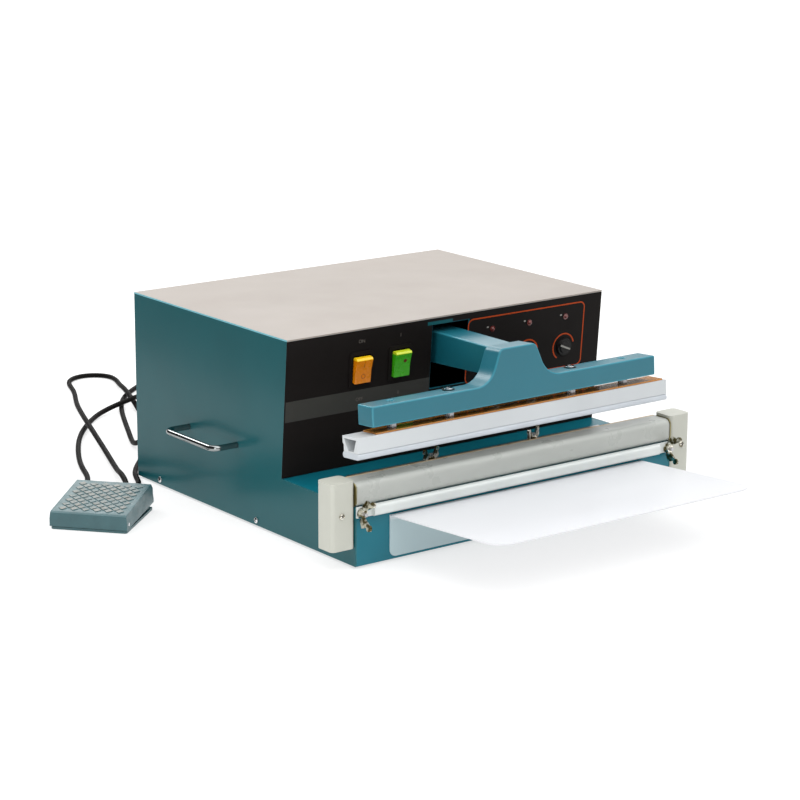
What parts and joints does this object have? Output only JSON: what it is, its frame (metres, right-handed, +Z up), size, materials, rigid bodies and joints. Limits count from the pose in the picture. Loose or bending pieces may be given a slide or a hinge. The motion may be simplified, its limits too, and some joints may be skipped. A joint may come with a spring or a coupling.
{
  "type": "tabletop impulse sealer",
  "caption": "Tabletop impulse heat sealer with a pivoting press arm and cross beam over a heated lower jaw, timer panel, work tray and corded foot pedal.",
  "frame": {"origin": "middle of the housing's footprint, on the table under its feet", "axes": "+Z up, -Y to the operator at the front, +X to the operator's right"},
  "size_m": [0.7771, 1.2607, 0.26],
  "materials": {
    "teal_paint": "gloss",
    "teal_casting": "gloss",
    "lid_paint": "satin",
    "panel_black": "satin",
    "rubber_black": "matt",
    "bright_steel": "polished",
    "plain_steel": "brushed",
    "black_plastic": "satin",
    "orange_plastic": "translucent",
    "green_plastic": "translucent",
    "red_lens": "clear",
    "jaw_aluminium": "satin",
    "jaw_white": "white coated",
    "lip_white": "satin",
    "insulator": "matt",
    "heater_alloy": "bright",
    "coated_cloth": "smooth",
    "ivory_plastic": "satin",
    "tray_white": "gloss",
    "wing_brass": "dull plated",
    "amber_plastic": "translucent",
    "bush_bronze": "machined",
    "winding": "wound wire",
    "laminations": "dull",
    "board_green": "satin",
    "pedal_blue": "satin"
  },
  "bodies": {
    "base": {"base_pan": "teal_paint", "front_casing": "teal_paint", "side_panel_left": "teal_paint", "side_panel_right": "teal_paint", "rear_panel": "teal_paint", "top_cover": "lid_paint", "control_panel": "panel_black", "rubber_feet": "rubber_black", "cord_glands": "rubber_black", "foot_cord": "rubber_black", "case_screws": "bright_steel", "handle_left": "bright_steel", "handle_right": "bright_steel", "front_screws": "bright_steel", "pedal_pin": "bright_steel", "handle_nuts": "plain_steel", "timer_pots": "plain_steel", "clamp_studs": "plain_steel", "rear_clamp": "plain_steel", "pivot_shaft": "plain_steel", "pivot_brackets": "plain_steel", "solenoid_frame": "plain_steel", "return_spring": "plain_steel", "pedal_springs": "plain_steel", "power_switch": "black_plastic", "mode_switch": "black_plastic", "power_inlet": "black_plastic", "pedal_switch": "black_plastic", "lamp_lenses": "red_lens", "lower_jaw": "jaw_aluminium", "jaw_insulator": "insulator", "heater_strip": "heater_alloy", "ptfe_cover": "coated_cloth", "clamp_bar": "ivory_plastic", "end_block_left": "ivory_plastic", "end_block_right": "ivory_plastic", "work_tray": "tray_white", "solenoid_coil": "winding", "transformer_coil": "winding", "transformer_core": "laminations", "timer_board": "board_green", "pedal_base": "pedal_blue"},
    "arm": {"press_arm": "teal_casting", "arm_bushes": "bush_bronze", "upper_jaw": "jaw_white", "jaw_lip": "lip_white", "insulation_strip": "amber_plastic", "jaw_bolts": "bright_steel", "jaw_spacers": "bright_steel"},
    "plunger": {"solenoid_plunger": "bright_steel"},
    "power_rocker": {"power_rocker": "orange_plastic"},
    "mode_rocker": {"mode_rocker": "green_plastic"},
    "heat_knob": {"heat_knob": "black_plastic"},
    "cool_knob": {"cool_knob": "black_plastic"},
    "delay_knob": {"delay_knob": "black_plastic"},
    "wing_nut_left": {"wing_nut_left": "wing_brass"},
    "wing_nut_right": {"wing_nut_right": "wing_brass"},
    "rear_wing_left": {"rear_wing_left": "wing_brass"},
    "rear_wing_right": {"rear_wing_right": "wing_brass"},
    "pedal": {"pedal_cover": "pedal_blue"}
  },
  "joints": [
    {"name": "arm_pivot", "type": "hinge", "parent": "base", "child": "arm", "pos_m": [0, 0.12, 0.203], "axis": [1, 0, 0], "range_deg": [0, 4.2], "stiffness_Nm_per_rad": 80, "springref_deg": -28.65, "deforming": ["return_spring"]},
    {"name": "plunger_slide", "type": "slide", "parent": "base", "child": "plunger", "axis": [0, 0, 1], "range_m": [-0.009, 0]},
    {"name": "power_rocker_tilt", "type": "hinge", "parent": "base", "child": "power_rocker", "pos_m": [-0.144, -0.10404, 0.20716], "axis": [1, 0, 0], "range_deg": [-14, 0]},
    {"name": "mode_rocker_tilt", "type": "hinge", "parent": "base", "child": "mode_rocker", "pos_m": [-0.082, -0.10404, 0.20716], "axis": [1, 0, 0], "range_deg": [-14, 0]},
    {"name": "heat_knob_turn", "type": "hinge", "parent": "base", "child": "heat_knob", "pos_m": [0.07, -0.10463, 0.189], "axis": [0, -0.997, -0.0775], "range_deg": [-217, 83]},
    {"name": "cool_knob_turn", "type": "hinge", "parent": "base", "child": "cool_knob", "pos_m": [0.1335, -0.10463, 0.189], "axis": [0, -0.997, -0.0775], "range_deg": [-217, 83]},
    {"name": "delay_knob_turn", "type": "hinge", "parent": "base", "child": "delay_knob", "pos_m": [0.197, -0.10463, 0.189], "axis": [0, -0.997, -0.0775], "range_deg": [-217, 83]},
    {"name": "wing_nut_left_turn", "type": "hinge", "parent": "base", "child": "wing_nut_left", "pos_m": [-0.2525, -0.2554, 0.071], "axis": [0, -1, 0], "continuous": true},
    {"name": "wing_nut_right_turn", "type": "hinge", "parent": "base", "child": "wing_nut_right", "pos_m": [0.2525, -0.2554, 0.071], "axis": [0, -1, 0], "continuous": true},
    {"name": "rear_wing_left_turn", "type": "hinge", "parent": "base", "child": "rear_wing_left", "pos_m": [-0.085, -0.177, 0.0904], "axis": [0, 0, 1], "continuous": true},
    {"name": "rear_wing_right_turn", "type": "hinge", "parent": "base", "child": "rear_wing_right", "pos_m": [0.085, -0.177, 0.0904], "axis": [0, 0, 1], "continuous": true},
    {"name": "pedal_hinge", "type": "hinge", "parent": "base", "child": "pedal", "pos_m": [-0.43623, 0.08051, 0.0105], "axis": [0.6561, -0.7547, 0], "range_deg": [-3, 0], "stiffness_Nm_per_rad": 4, "springref_deg": 14.32, "deforming": ["pedal_springs"]}
  ],
  "couplings": [
    {"joint": "plunger_slide", "follows": "arm_pivot", "m_per_rad": -0.11887}
  ]
}
